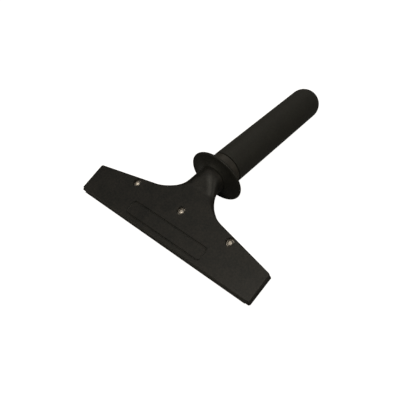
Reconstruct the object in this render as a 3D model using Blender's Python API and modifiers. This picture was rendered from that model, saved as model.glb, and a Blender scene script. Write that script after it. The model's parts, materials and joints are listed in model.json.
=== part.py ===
"""Floor scraper with a clamped blade, a hand guard and a straight grip.

Metres, +Z up.  The tool lies on a table: the mouth's lower edge and the bottom
of the hand guard touch the floor (z = 0) and the grip's axis is level, along +Y.
The mouth runs along X.  The origin is the centre of the footprint.

The jaw frame is an empty at the middle of the mouth.  Its Y runs from the mouth
towards the grip along the blade, and its Z is the blade's upward normal.
The handle frame is an empty on the grip's axis.  Its Z runs along the grip.
"""
import math

import bmesh
import bpy
from mathutils import Matrix, Vector

MM = 0.001

# Clearances, and how far a cutter reaches past the faces it cuts.
FIT_GAP = 0.3 * MM
BORE_GAP = 0.3 * MM
CUT_OVER = 1.0 * MM

# Head outline, seen square to the blade.
HEAD_WIDTH = 205.0 * MM
END_LENGTH = 30.2 * MM
SHOULDER_ANGLE = math.radians(11.75)
SHOULDER_SWEEP = 33.9 * MM
END_CORNER = 1.7 * MM
LIP_THICKNESS = 3.6 * MM
LIP_ROUND = 0.5 * MM

# Angles to the level grip: the blade and seam, and the head's top face.
SEAM_TILT = math.radians(17.0)
TOP_TILT = math.radians(19.7)

# Clamp plate and the blade that lies in its seat.
PLATE_THICKNESS = 3.6 * MM
PLATE_SET_BACK = 0.5 * MM
PLATE_END_INSET = 0.2 * MM
PLATE_LENGTH = 46.0 * MM
PLATE_CORNER = 1.2 * MM
BLADE_END_INSET = 3.6 * MM
BLADE_DEPTH = 24.0 * MM
BLADE_THICKNESS = 0.7 * MM
BLADE_PROUD = 0.7 * MM
BLADE_GRIND = 3.0 * MM
BLADE_EDGE = 0.12 * MM

# Clamp screws: M3 button heads, thin washers and nuts.
SCREW_Y = 34.2 * MM
SCREW_SPACING = 56.8 * MM
SCREW_RADIUS = 1.5 * MM
SCREW_CHAMFER = 0.3 * MM
SCREW_TIP_INSET = 0.1 * MM
SCREW_HEAD_RADIUS = 2.85 * MM
SCREW_HEAD_HEIGHT = 1.65 * MM
SCREW_HEAD_RIM = 0.35 * MM
SOCKET_ACROSS = 2.0 * MM
SOCKET_DEPTH = 1.0 * MM
WASHER_THICKNESS = 0.5 * MM
COUNTERBORE_ROOM = 1.0 * MM
COUNTERBORE_FLOOR = 1.9 * MM
NUT_ACROSS = 5.5 * MM
NUT_THICKNESS = 1.8 * MM

# Neck: its edges round over first, then its height grows from slab to tube.
BEND_LENGTH = 61.9 * MM
BEND_HEIGHT = 3.2 * MM
NECK_LENGTH = 16.3 * MM
NECK_WALL = 5.5 * MM
# How far before and behind the bend the rounding and the rise start and end.
ROUND_LEAD = 19.9 * MM
ROUND_TRAIL = 7.9 * MM
RISE_LEAD = 3.9 * MM
RISE_TRAIL = 13.2 * MM

# Handle tube, guard, collar and grip.
TUBE_RADIUS = 8.0 * MM
TUBE_WALL = 1.5 * MM
TUBE_SOCKET = 10.5 * MM
GUARD_HALF_WIDTH = 28.9 * MM
GUARD_RIM = 1.3 * MM
GUARD_HUB_STEP = 1.2 * MM
GUARD_HUB_THICKNESS = 6.6 * MM
GUARD_RIM_BACK = 4.9 * MM
GUARD_SEAT = 1.5 * MM
COLLAR_LENGTH = 11.2 * MM
COLLAR_RADIUS = 16.6 * MM
GROOVE_WIDTH = 1.3 * MM
GRIP_LENGTH = 138.5 * MM
GRIP_FRONT_RADIUS = 16.7 * MM
GRIP_REAR_RADIUS = 15.8 * MM
EDGE_ROUND = 0.7 * MM

# Facets, and the steps of the lofts.
ROUND_STEPS = 48
SMALL_STEPS = 32
CORNER_STEPS = 8
DOME_STEPS = 7
GRIP_END_STEPS = 10
RIM_STEPS = 6
FLARE_STEPS = 5
NECK_ROWS = 18
SWEEP_STEPS = 20
LIP_TURNS = (36, 50, 65, 90)
SHARP_ANGLE = math.radians(30.0)
# Points nearer than this are one point.
MERGE = 0.005 * MM
# The two rows that make the step behind the lower jaw are this far apart.
STEP_SPLIT = 0.01 * MM

# Worked out from the sizes above.
HALF_WIDTH = HEAD_WIDTH / 2
NECK_RADIUS = TUBE_RADIUS + NECK_WALL
ROUND_START = BEND_LENGTH - ROUND_LEAD
ROUND_FULL = BEND_LENGTH + ROUND_TRAIL
RISE_START = BEND_LENGTH - RISE_LEAD
RISE_FULL = BEND_LENGTH + RISE_TRAIL
TOP_RISE = math.tan(TOP_TILT - SEAM_TILT)
PLATE_TOP = -FIT_GAP
PLATE_BOTTOM = PLATE_TOP - PLATE_THICKNESS
SEAT_FLOOR = PLATE_TOP - BLADE_THICKNESS - FIT_GAP
HEAD_STEP = PLATE_SET_BACK + PLATE_LENGTH + FIT_GAP
BLADE_WIDTH = HEAD_WIDTH - 2 * BLADE_END_INSET
SCREW_HOLE = SCREW_RADIUS + BORE_GAP
COUNTERBORE_RADIUS = SCREW_HEAD_RADIUS + COUNTERBORE_ROOM
WASHER_RADIUS = COUNTERBORE_RADIUS - FIT_GAP
NUT_TOP = PLATE_BOTTOM + NUT_THICKNESS
HEXAGON = math.cos(math.pi / 6)
# The mouth's lowest edge is the clamp plate's front lower one.
JAW_HEIGHT = (-PLATE_BOTTOM * math.cos(SEAM_TILT)
              - PLATE_SET_BACK * math.sin(SEAM_TILT))
AXIS_HEIGHT = (JAW_HEIGHT + BEND_LENGTH * math.sin(SEAM_TILT)
               + BEND_HEIGHT * math.cos(SEAM_TILT))
GUARD_FRONT = NECK_LENGTH + FIT_GAP
GUARD_REAR = GUARD_FRONT + GUARD_HUB_THICKNESS
COLLAR_REAR = GUARD_REAR + FIT_GAP + COLLAR_LENGTH
GRIP_FRONT = COLLAR_REAR + GROOVE_WIDTH
GRIP_REAR = GRIP_FRONT + GRIP_LENGTH
TUBE_BORE = TUBE_RADIUS + BORE_GAP
# Along Y from the jaw frame to the bend, the front of the lip and the grip's end.
BEND_Y = BEND_LENGTH * math.cos(SEAM_TILT) - BEND_HEIGHT * math.sin(SEAM_TILT)
FRONT_Y = -(LIP_THICKNESS + LIP_ROUND * (TOP_RISE - 0.5)) * math.sin(SEAM_TILT)
JAW_Y = -(FRONT_Y + BEND_Y + GRIP_REAR) / 2

SIDES = (("left", -1), ("centre", 0), ("right", 1))

for old in list(bpy.data.objects):
    bpy.data.objects.remove(old, do_unlink=True)

model = bpy.data.collections.new("floor_scraper")
cutters = bpy.data.collections.new("floor_scraper_cutters")
for group in (model, cutters):
    bpy.context.scene.collection.children.link(group)


def make_frame(name, location, tilt):
    """Add an empty turned about X by tilt."""
    frame = bpy.data.objects.new(name, None)
    frame.location = location
    frame.rotation_euler = (tilt, 0.0, 0.0)
    frame.empty_display_size = 0.02
    model.objects.link(frame)
    return frame


jaw = make_frame("jaw_frame", (0.0, JAW_Y, JAW_HEIGHT), SEAM_TILT)
handle = make_frame("handle_frame", (0.0, JAW_Y + BEND_Y, AXIS_HEIGHT), -math.pi / 2)


def make_material(name, colour, roughness, metallic=0.0):
    """Return a Principled material."""
    material = bpy.data.materials.new(name)
    material.use_nodes = True
    shader = material.node_tree.nodes["Principled BSDF"]
    shader.inputs["Base Color"].default_value = (*colour, 1.0)
    shader.inputs["Roughness"].default_value = roughness
    shader.inputs["Metallic"].default_value = metallic
    material.diffuse_color = (*colour, 1.0)
    return material


HEAD_PLASTIC = make_material("head_plastic", (0.018, 0.017, 0.015), 0.55)
PLATE_PLASTIC = make_material("plate_plastic", (0.014, 0.013, 0.012), 0.6)
GUARD_PLASTIC = make_material("guard_plastic", (0.009, 0.009, 0.009), 0.5)
GRIP_RUBBER = make_material("grip_rubber", (0.020, 0.019, 0.016), 0.7)
BLADE_STEEL = make_material("blade_steel", (0.10, 0.10, 0.105), 0.35, 1.0)
SCREW_STEEL = make_material("screw_steel", (0.52, 0.48, 0.43), 0.3, 1.0)
NUT_STEEL = make_material("nut_steel", (0.45, 0.44, 0.42), 0.35, 1.0)
TUBE_ALLOY = make_material("tube_alloy", (0.60, 0.60, 0.61), 0.4, 1.0)


def add_object(name, mesh, material, frame, location=(0.0, 0.0, 0.0)):
    """Link a mesh as a named part, or as a cutter where it has no material."""
    piece = bpy.data.objects.new(name, mesh)
    piece.parent = frame
    piece.location = location
    if material is None:
        cutters.objects.link(piece)
        piece.hide_render = True
        piece.display_type = "WIRE"
    else:
        model.objects.link(piece)
        mesh.materials.append(material)
        mesh.shade_smooth()
        mesh.set_sharp_from_angle(angle=SHARP_ANGLE)
    return piece


def mesh_from_bmesh(name, shape):
    """Write a bmesh into a new mesh with its faces pointing out."""
    bmesh.ops.recalc_face_normals(shape, faces=shape.faces[:])
    mesh = bpy.data.meshes.new(name)
    shape.to_mesh(mesh)
    shape.free()
    return mesh


def loft_mesh(name, rings, closed=False):
    """Join rings of equal length; the ends are capped unless the loft closes."""
    shape = bmesh.new()
    loops = [[shape.verts.new(point) for point in ring] for ring in rings]
    count = len(loops[0])
    pairs = list(zip(loops, loops[1:]))
    if closed:
        pairs.append((loops[-1], loops[0]))
    for lower, upper in pairs:
        for i in range(count):
            j = (i + 1) % count
            shape.faces.new((lower[i], lower[j], upper[j], upper[i]))
    if not closed:
        shape.faces.new(loops[0][::-1])
        shape.faces.new(loops[-1])
    return mesh_from_bmesh(name, shape)


def turned_mesh(name, profile, steps):
    """Turn a profile of (radius, z) about Z with a Screw modifier."""
    outline = bpy.data.meshes.new(name + "_profile")
    points = [(radius, 0.0, z) for radius, z in profile]
    edges = [(i, i + 1) for i in range(len(points) - 1)]
    if profile[0][0] > 0.0:
        edges.append((len(points) - 1, 0))
    outline.from_pydata(points, edges, [])
    source = bpy.data.objects.new(name + "_profile", outline)
    bpy.context.scene.collection.objects.link(source)
    screw = source.modifiers.new("turn", "SCREW")
    screw.steps = steps
    screw.render_steps = steps
    screw.use_merge_vertices = True
    screw.merge_threshold = MERGE
    bpy.context.view_layer.update()
    graph = bpy.context.evaluated_depsgraph_get()
    mesh = bpy.data.meshes.new_from_object(source.evaluated_get(graph))
    bpy.data.objects.remove(source)
    shape = bmesh.new()
    shape.from_mesh(mesh)
    bmesh.ops.remove_doubles(shape, verts=shape.verts[:], dist=MERGE)
    bpy.data.meshes.remove(mesh)
    return mesh_from_bmesh(name, shape)


def slab_mesh(name, outline, low, high, plane="XY"):
    """Extrude a flat outline in the given plane, from a filled 2D curve."""
    curve = bpy.data.curves.new(name + "_outline", "CURVE")
    curve.dimensions = "2D"
    curve.fill_mode = "BOTH"
    curve.extrude = (high - low) / 2
    spline = curve.splines.new("POLY")
    spline.points.add(len(outline) - 1)
    for point, (across, along) in zip(spline.points, outline):
        point.co = (across, along, 0.0, 1.0)
    spline.use_cyclic_u = True
    source = bpy.data.objects.new(name + "_outline", curve)
    bpy.context.scene.collection.objects.link(source)
    bpy.context.view_layer.update()
    graph = bpy.context.evaluated_depsgraph_get()
    mesh = bpy.data.meshes.new_from_object(source.evaluated_get(graph))
    bpy.data.objects.remove(source)
    bpy.data.curves.remove(curve)
    mesh.transform(Matrix.Translation((0.0, 0.0, (high + low) / 2)))
    if plane == "YZ":
        mesh.transform(Matrix(((0, 0, 1, 0), (1, 0, 0, 0), (0, 1, 0, 0), (0, 0, 0, 1))))
    shape = bmesh.new()
    shape.from_mesh(mesh)
    bmesh.ops.remove_doubles(shape, verts=shape.verts[:], dist=MERGE)
    bpy.data.meshes.remove(mesh)
    return mesh_from_bmesh(name, shape)


def cylinder_mesh(name, radius, low, high, steps):
    """Return a cylinder or prism about Z, with capped ends."""
    shape = bmesh.new()
    place = Matrix.Translation((0.0, 0.0, (low + high) / 2))
    bmesh.ops.create_cone(shape, cap_ends=True, segments=steps, radius1=radius,
                          radius2=radius, depth=high - low, matrix=place)
    return mesh_from_bmesh(name, shape)


def cut(piece, cutter):
    """Take the cutter out of the piece."""
    step = piece.modifiers.new("cut_" + cutter.name, "BOOLEAN")
    step.operation = "DIFFERENCE"
    step.solver = "EXACT"
    step.object = cutter


def arc(centre, radius, start, end, steps):
    """Return points on an arc, both ends included."""
    turn = (end - start) / steps
    return [(centre[0] + radius * math.cos(start + turn * i),
             centre[1] + radius * math.sin(start + turn * i)) for i in range(steps + 1)]


def smooth(value):
    """Ease from 0 to 1 with level ends."""
    value = min(1.0, max(0.0, value))
    return value * value * (3.0 - 2.0 * value)


# The shoulder line meets the neck's side line at a corner, which the sweep rounds.
SHOULDER_SLOPE = math.tan(SHOULDER_ANGLE)
CORNER_Y = END_LENGTH + (HALF_WIDTH - NECK_RADIUS) * SHOULDER_SLOPE
SWEEP_TANGENT = SHOULDER_SWEEP * math.tan((math.pi / 2 - SHOULDER_ANGLE) / 2)
SWEEP_CENTRE = (NECK_RADIUS + SHOULDER_SWEEP, CORNER_Y + SWEEP_TANGENT)
SWEEP_START = SWEEP_CENTRE[1] - SHOULDER_SWEEP * math.cos(SHOULDER_ANGLE)


def head_half_width(y):
    """Return the head outline's half width at a distance from the mouth."""
    if y < END_CORNER:
        return HALF_WIDTH - END_CORNER + math.sqrt(END_CORNER ** 2 - (END_CORNER - y) ** 2)
    if y < END_LENGTH:
        return HALF_WIDTH
    if y < SWEEP_START:
        return HALF_WIDTH - (y - END_LENGTH) / SHOULDER_SLOPE
    if y < SWEEP_CENTRE[1]:
        drop = SWEEP_CENTRE[1] - y
        return SWEEP_CENTRE[0] - math.sqrt(SHOULDER_SWEEP ** 2 - drop ** 2)
    return NECK_RADIUS


NECK_END = Vector((0.0, BEND_LENGTH + NECK_LENGTH * math.cos(SEAM_TILT),
                   BEND_HEIGHT - NECK_LENGTH * math.sin(SEAM_TILT)))


def head_section(y, underside):
    """Return one section of the head: a rounded slab that becomes the round neck."""
    top = LIP_THICKNESS + y * TOP_RISE
    risen = smooth((y - RISE_START) / (RISE_FULL - RISE_START))
    rounded = smooth((y - ROUND_START) / (ROUND_FULL - ROUND_START))
    slab_middle = (top + underside) / 2
    slab_half = (top - underside) / 2
    axis = BEND_HEIGHT - (y - BEND_LENGTH) * math.tan(SEAM_TILT)
    middle = slab_middle + (axis - slab_middle) * risen
    half_height = slab_half + (NECK_RADIUS - slab_half) * risen
    rounding = LIP_ROUND + (NECK_RADIUS - LIP_ROUND) * rounded
    lean = SEAM_TILT * smooth((y - HEAD_STEP) / (NECK_END.y - HEAD_STEP))
    return section_ring(Vector((0.0, y, middle)), head_half_width(y), half_height,
                        rounding, lean)


def section_ring(centre, half_width, half_height, rounding, lean):
    """Return a box with elliptical corners, in a plane that leans back from upright."""
    across = min(rounding, half_width)
    tall = min(rounding, half_height)
    corners = ((1, -1, -90), (1, 1, 0), (-1, 1, 90), (-1, -1, 180))
    up = Vector((0.0, math.sin(lean), math.cos(lean)))
    ring = []
    for side, rise, start in corners:
        first = math.radians(start)
        for turn_x, turn_z in arc((0.0, 0.0), 1.0, first, first + math.pi / 2, CORNER_STEPS):
            x = side * (half_width - across) + across * turn_x
            z = rise * (half_height - tall) + tall * turn_z
            ring.append(centre + Vector((x, 0.0, 0.0)) + up * z)
    return ring


def lip_ring():
    """Return the mouth's front face: the first section, drawn in on every side."""
    first = head_section(LIP_ROUND, 0.0)
    middle = sum((point.z for point in first)) / len(first)
    draw_x = LIP_ROUND + head_half_width(LIP_ROUND) - head_half_width(0.0)
    draw_z = LIP_ROUND / 2
    return [Vector((point.x - math.copysign(draw_x, point.x), 0.0,
                    point.z - math.copysign(draw_z, point.z - middle))) for point in first]


def make_head():
    """Build the upper jaw, shoulders and neck as one loft, and cut its holes."""
    corner_rows = [END_CORNER * (1.0 - math.cos(math.radians(turn))) for turn in LIP_TURNS]
    rows = [LIP_ROUND] + [row for row in corner_rows if row > LIP_ROUND + MERGE]
    rows += [END_LENGTH, (END_LENGTH + ROUND_START) / 2, ROUND_START,
             (ROUND_START + HEAD_STEP) / 2, HEAD_STEP]
    rings = [lip_ring()] + [head_section(y, 0.0) for y in rows]
    reach = NECK_END.y - HEAD_STEP
    for i in range(NECK_ROWS):
        y = HEAD_STEP + STEP_SPLIT + reach * i / NECK_ROWS
        rings.append(head_section(y, PLATE_BOTTOM))
    rings.append(section_ring(NECK_END, NECK_RADIUS, NECK_RADIUS, NECK_RADIUS, SEAM_TILT))
    head = add_object("head_body", loft_mesh("head_body", rings), HEAD_PLASTIC, jaw)

    top = LIP_THICKNESS + (SCREW_Y + COUNTERBORE_RADIUS) * TOP_RISE + CUT_OVER
    for side, place in SIDES:
        spot = (place * SCREW_SPACING, SCREW_Y, 0.0)
        hole = cylinder_mesh("screw_hole_" + side, SCREW_HOLE, -CUT_OVER, top, SMALL_STEPS)
        cut(head, add_object("screw_hole_" + side, hole, None, jaw, spot))
        sink = cylinder_mesh("counterbore_" + side, COUNTERBORE_RADIUS, COUNTERBORE_FLOOR,
                             top + CUT_OVER, SMALL_STEPS)
        cut(head, add_object("counterbore_" + side, sink, None, jaw, spot))
    socket = cylinder_mesh("tube_socket", TUBE_BORE, NECK_LENGTH - TUBE_SOCKET,
                           NECK_LENGTH + CUT_OVER, ROUND_STEPS)
    cut(head, add_object("tube_socket", socket, None, handle))


def make_clamp_plate():
    """Build the lower jaw: a flat plate with a blade seat and nut pockets."""
    half = HALF_WIDTH - PLATE_END_INSET
    front = PLATE_SET_BACK
    back_corner = END_LENGTH - PLATE_END_INSET
    rear = PLATE_SET_BACK + PLATE_LENGTH
    # Its sides keep inside the head's shoulder and sweep by the same inset.
    reach = SWEEP_CENTRE[1] - SWEEP_START
    rows = [SWEEP_START + reach * i / SWEEP_STEPS - PLATE_END_INSET
            for i in range(SWEEP_STEPS + 1)]
    rows = [y for y in rows if back_corner < y < rear - MERGE] + [rear]
    right = [(half - PLATE_CORNER, front), (half, front + PLATE_CORNER), (half, back_corner)]
    right += [(head_half_width(y + PLATE_END_INSET), y) for y in rows]
    left = [(-x, y) for x, y in reversed(right)]
    mesh = slab_mesh("clamp_plate", right + left, PLATE_BOTTOM, PLATE_TOP)
    plate = add_object("clamp_plate", mesh, PLATE_PLASTIC, jaw)

    seat_half = BLADE_WIDTH / 2 + FIT_GAP
    seat_rear = BLADE_DEPTH - BLADE_PROUD + FIT_GAP
    seat_front = front - CUT_OVER
    seat = [(-seat_half, seat_front), (seat_half, seat_front),
            (seat_half, seat_rear), (-seat_half, seat_rear)]
    seat_mesh = slab_mesh("blade_seat", seat, SEAT_FLOOR, PLATE_TOP + CUT_OVER)
    cut(plate, add_object("blade_seat", seat_mesh, None, jaw))
    pocket_radius = (NUT_ACROSS / 2 + FIT_GAP) / HEXAGON
    for side, place in SIDES:
        spot = (place * SCREW_SPACING, SCREW_Y, 0.0)
        hole = cylinder_mesh("plate_hole_" + side, SCREW_HOLE, PLATE_BOTTOM - CUT_OVER,
                             PLATE_TOP + CUT_OVER, SMALL_STEPS)
        cut(plate, add_object("plate_hole_" + side, hole, None, jaw, spot))
        pocket = cylinder_mesh("nut_pocket_" + side, pocket_radius, PLATE_BOTTOM - CUT_OVER,
                               NUT_TOP + FIT_GAP, 6)
        cut(plate, add_object("nut_pocket_" + side, pocket, None, jaw, spot))


def make_blade():
    """Build the blade: a strip with its lower side ground to the edge."""
    top = PLATE_TOP
    bottom = top - BLADE_THICKNESS
    front = -BLADE_PROUD
    profile = [(front, top - BLADE_EDGE), (front + BLADE_GRIND, bottom),
               (front + BLADE_DEPTH, bottom), (front + BLADE_DEPTH, top), (front, top)]
    half = BLADE_WIDTH / 2
    mesh = slab_mesh("scraper_blade", profile, -half, half, "YZ")
    add_object("scraper_blade", mesh, BLADE_STEEL, jaw)


def make_screws():
    """Build the clamp screws with their washers and nuts."""
    washer_low = COUNTERBORE_FLOOR + FIT_GAP
    washer_high = washer_low + WASHER_THICKNESS
    head_low = washer_high + FIT_GAP
    head_high = head_low + SCREW_HEAD_HEIGHT
    tip = PLATE_BOTTOM + SCREW_TIP_INSET
    # The dome is an arc from the rim to the crown.
    dome_rise = SCREW_HEAD_HEIGHT - SCREW_HEAD_RIM
    dome_radius = (SCREW_HEAD_RADIUS ** 2 + dome_rise ** 2) / (2 * dome_rise)
    dome_angle = math.asin(SCREW_HEAD_RADIUS / dome_radius)
    dome_centre = head_high - dome_radius
    dome = arc((0.0, dome_centre), dome_radius, math.pi / 2, math.pi / 2 - dome_angle,
               DOME_STEPS)
    dome[0] = (0.0, head_high)
    profile = dome + [(SCREW_HEAD_RADIUS, head_low), (SCREW_RADIUS, head_low),
                      (SCREW_RADIUS, tip + SCREW_CHAMFER),
                      (SCREW_RADIUS - SCREW_CHAMFER, tip), (0.0, tip)]
    screw_mesh = turned_mesh("clamp_screw", profile, SMALL_STEPS)
    washer = [(SCREW_HOLE, washer_high), (WASHER_RADIUS, washer_high),
              (WASHER_RADIUS, washer_low), (SCREW_HOLE, washer_low)]
    washer_mesh = turned_mesh("screw_washer", washer, SMALL_STEPS)
    nut_radius = NUT_ACROSS / 2 / HEXAGON
    socket_radius = SOCKET_ACROSS / 2 / HEXAGON
    for side, place in SIDES:
        spot = (place * SCREW_SPACING, SCREW_Y, 0.0)
        screw = add_object("clamp_screw_" + side, screw_mesh.copy(), SCREW_STEEL, jaw, spot)
        socket = cylinder_mesh("hex_socket_" + side, socket_radius,
                               head_high - SOCKET_DEPTH, head_high + CUT_OVER, 6)
        cut(screw, add_object("hex_socket_" + side, socket, None, jaw, spot))
        add_object("screw_washer_" + side, washer_mesh.copy(), SCREW_STEEL, jaw, spot)
        nut_mesh = cylinder_mesh("clamp_nut_" + side, nut_radius, PLATE_BOTTOM, NUT_TOP, 6)
        nut = add_object("clamp_nut_" + side, nut_mesh, NUT_STEEL, jaw, spot)
        bore = cylinder_mesh("nut_bore_" + side, SCREW_HOLE, PLATE_BOTTOM - CUT_OVER,
                             NUT_TOP + CUT_OVER, SMALL_STEPS)
        cut(nut, add_object("nut_bore_" + side, bore, None, jaw, spot))


def make_handle_tube():
    """Build the alloy tube that joins the neck to the grip."""
    low = NECK_LENGTH - TUBE_SOCKET + FIT_GAP
    high = GRIP_REAR - GRIP_REAR_RADIUS + FIT_GAP
    inner = TUBE_RADIUS - TUBE_WALL
    profile = [(inner, high), (TUBE_RADIUS, high), (TUBE_RADIUS, low), (inner, low)]
    add_object("handle_tube", turned_mesh("handle_tube", profile, ROUND_STEPS),
               TUBE_ALLOY, handle)


def guard_profile(rim_radius):
    """Return the guard's section at one angle, from the bore out to the rim and back."""
    hub = NECK_RADIUS + GUARD_HUB_STEP
    seat = COLLAR_RADIUS + GUARD_SEAT
    rim_centre = (rim_radius - GUARD_RIM, GUARD_FRONT + GUARD_RIM_BACK)
    rim = arc(rim_centre, GUARD_RIM, math.pi / 2, -math.pi / 2, RIM_STEPS)
    # The front flares out from the hub and turns square to the axis at the rim.
    first = rim[-1]
    flare = []
    for i in range(1, FLARE_STEPS):
        share = i / FLARE_STEPS
        flare.append((first[0] + (hub - first[0]) * share,
                      first[1] + (GUARD_FRONT - first[1]) * share * share))
    return [(TUBE_BORE, GUARD_REAR), (seat, GUARD_REAR)] + rim + flare + [
        (hub, GUARD_FRONT), (TUBE_BORE, GUARD_FRONT)]


def make_guard():
    """Build the oval hand guard around the round tube."""
    rings = []
    for i in range(ROUND_STEPS):
        turn = 2 * math.pi * i / ROUND_STEPS
        # An ellipse's radius at this angle; its lowest point touches the floor.
        rim = 1.0 / math.hypot(math.cos(turn) / GUARD_HALF_WIDTH, math.sin(turn) / AXIS_HEIGHT)
        rings.append([Vector((radius * math.cos(turn), radius * math.sin(turn), z))
                      for radius, z in guard_profile(rim)])
    add_object("hand_guard", loft_mesh("hand_guard", rings, closed=True),
               GUARD_PLASTIC, handle)


def make_collar():
    """Build the ring between the guard and the grip."""
    low = GUARD_REAR + FIT_GAP
    high = COLLAR_REAR
    profile = [(TUBE_BORE, high), (COLLAR_RADIUS - EDGE_ROUND, high),
               (COLLAR_RADIUS, high - EDGE_ROUND), (COLLAR_RADIUS, low + EDGE_ROUND),
               (COLLAR_RADIUS - EDGE_ROUND, low), (TUBE_BORE, low)]
    add_object("grip_collar", turned_mesh("grip_collar", profile, ROUND_STEPS),
               GRIP_RUBBER, handle)


def make_grip():
    """Build the grip sleeve: a slightly tapered tube with a domed, closed end."""
    dome_base = GRIP_REAR - GRIP_REAR_RADIUS
    dome = arc((0.0, dome_base), GRIP_REAR_RADIUS, math.pi / 2, 0.0, GRIP_END_STEPS)
    dome[0] = (0.0, GRIP_REAR)
    outer = dome + [(GRIP_FRONT_RADIUS, GRIP_FRONT + EDGE_ROUND),
                    (GRIP_FRONT_RADIUS - EDGE_ROUND, GRIP_FRONT)]
    bore_end = dome_base + 2 * FIT_GAP
    inner = [(TUBE_BORE, GRIP_FRONT), (TUBE_BORE, bore_end), (0.0, bore_end)]
    add_object("grip_sleeve", turned_mesh("grip_sleeve", outer + inner, ROUND_STEPS),
               GRIP_RUBBER, handle)


make_head()
make_clamp_plate()
make_blade()
make_screws()
make_handle_tube()
make_guard()
make_collar()
make_grip()
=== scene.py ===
"""Floor scraper: the looks of the hand tool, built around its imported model.

Every length in the panel is in metres.  The jaw frame has its origin at the
middle of the mouth, Y along the blade towards the grip and Z along the blade's
upward normal.  The grip frame has its origin on the grip's axis at the guard's
front face and its Y along the grip.
"""

import json
import math

import bmesh
import bpy
import numpy as np
from bpy.props import FloatProperty, FloatVectorProperty, PointerProperty
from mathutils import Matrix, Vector


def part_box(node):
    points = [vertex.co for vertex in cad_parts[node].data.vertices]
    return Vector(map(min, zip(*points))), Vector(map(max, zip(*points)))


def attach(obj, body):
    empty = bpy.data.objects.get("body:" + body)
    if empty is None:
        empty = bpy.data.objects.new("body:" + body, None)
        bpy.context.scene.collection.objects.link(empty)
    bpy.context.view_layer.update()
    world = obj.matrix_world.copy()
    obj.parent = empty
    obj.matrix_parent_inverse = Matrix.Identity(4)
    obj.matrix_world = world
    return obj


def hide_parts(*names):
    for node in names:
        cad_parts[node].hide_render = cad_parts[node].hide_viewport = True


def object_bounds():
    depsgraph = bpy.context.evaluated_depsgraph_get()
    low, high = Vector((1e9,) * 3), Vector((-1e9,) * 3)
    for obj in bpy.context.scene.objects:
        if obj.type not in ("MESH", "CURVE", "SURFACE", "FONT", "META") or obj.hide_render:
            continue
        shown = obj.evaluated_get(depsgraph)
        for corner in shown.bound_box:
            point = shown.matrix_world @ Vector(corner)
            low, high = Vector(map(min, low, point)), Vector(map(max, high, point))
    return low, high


bl_info = {
    "name": "Floor scraper",
    "version": (1, 0, 0),
    "blender": (4, 5, 0),
    "location": "View3D > Sidebar > Scraper",
    "description": "Builds a floor scraper with a clamped blade, guard and grip",
    "category": "Add Mesh",
}

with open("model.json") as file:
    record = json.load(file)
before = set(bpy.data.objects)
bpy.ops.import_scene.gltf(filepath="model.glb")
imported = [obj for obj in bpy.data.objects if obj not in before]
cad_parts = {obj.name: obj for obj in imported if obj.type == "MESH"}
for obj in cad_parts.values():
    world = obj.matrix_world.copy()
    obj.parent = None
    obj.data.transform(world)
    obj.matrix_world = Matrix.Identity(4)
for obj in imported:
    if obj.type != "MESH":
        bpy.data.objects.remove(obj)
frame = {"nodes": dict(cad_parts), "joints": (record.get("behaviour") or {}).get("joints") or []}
CAD_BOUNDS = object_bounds()
MM = 0.001
# Clearance between faces that would touch on the real tool.
GAP = 0.3 * MM
# A turned shape ends in a ring this small instead of a point on its axis.
TIP_RADIUS = 0.02 * MM
CUTTER_TIP_RADIUS = 0.0005 * MM
# Thickness that the cutters' ends pass the surface by.
CUTTER_REACH = 2 * MM
SIDES = ("left", "centre", "right")
# A rectangle's corners: side, rise and the angle in degrees where its arc starts.
CORNERS = ((1, -1, -90), (1, 1, 0), (-1, 1, 90), (-1, -1, 180))


def joint(name):
    """Return a joint's entry in the record."""
    return next(entry for entry in frame["joints"] if entry["name"] == name)


# The jaw frame, from the joints: the jaw opens down and the blade slides forward.
JAW_UP = -np.array(joint("jaw_open")["axis"])
JAW_BACK = -np.array(joint("blade_slide")["axis"])
ACROSS = np.array((1.0, 0.0, 0.0))
JAW_BASIS = np.stack((ACROSS, JAW_BACK, JAW_UP))
SEAM_TILT = math.atan2(JAW_BACK[2], JAW_BACK[1])
SCREW_PLACES = {side: np.array(joint(side + "_screw_turn")["pos_m"]) for side in SIDES}
GRIP_AXIS_Z = sum(corner.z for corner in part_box("handle_tube")) / 2
GUARD_FRONT_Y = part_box("hand_guard")[0].y

# Rows of points along the parts of the head's outline.
CORNER_ROWS = 8
END_ROWS = 16
SHOULDER_ROWS = 44
SWEEP_ROWS = 44
NECK_ROWS = 5
# The mouth's corner arc starts just off the front face, in radians.
CORNER_START = 0.12
# Room between a corner's arc and the first and last rows of the straight end.
FRONT_ROOM = 0.8 * MM
BACK_ROOM = 0.4 * MM
# A fillet seen along its edge is stretched, up to these limits.
FILLET_SINE = 0.12
FILLET_STRETCH = 6
# Half the distance between the two rows that make the step.
STEP_HALF = 0.01 * MM
# The mouth's first rows: inset, then distance behind the front face, both as
# shares of the chamfer's height.
LIP_STEPS = ((1.2, 0.0), (1.0, 0.12), (0.06, 1.66), (0.0, 1.85))
LIP_UNDER = 0.3 * MM
LIP_SIDE = 0.25 * MM
LIP_ROOM = 0.1 * MM

# How far the paler tone of an even-coloured moulding stands above its tone.
PALE_SHARE = 1.5
# Moulded finishes: tone, pale tone, roughness, specular, sheen, pebbles, depth.
MOULDED = {
    "head_finish": ("head", "head_pale", 0.47, 0.34, 0.015, 2300.0, 0.00004),
    "plate_finish": ("head", "head_pale", 0.47, 0.34, 0.015, 2300.0, 0.00004),
    "guard_finish": ("guard", None, 0.42, 0.20, 0.03, 3200.0, 0.00002),
    "grip_finish": ("grip", None, 0.62, 0.3, 0.06, 1900.0, 0.00007),
    "collar_finish": ("collar", None, 0.5, 0.4, 0.03, 1900.0, 0.00004),
}
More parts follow.
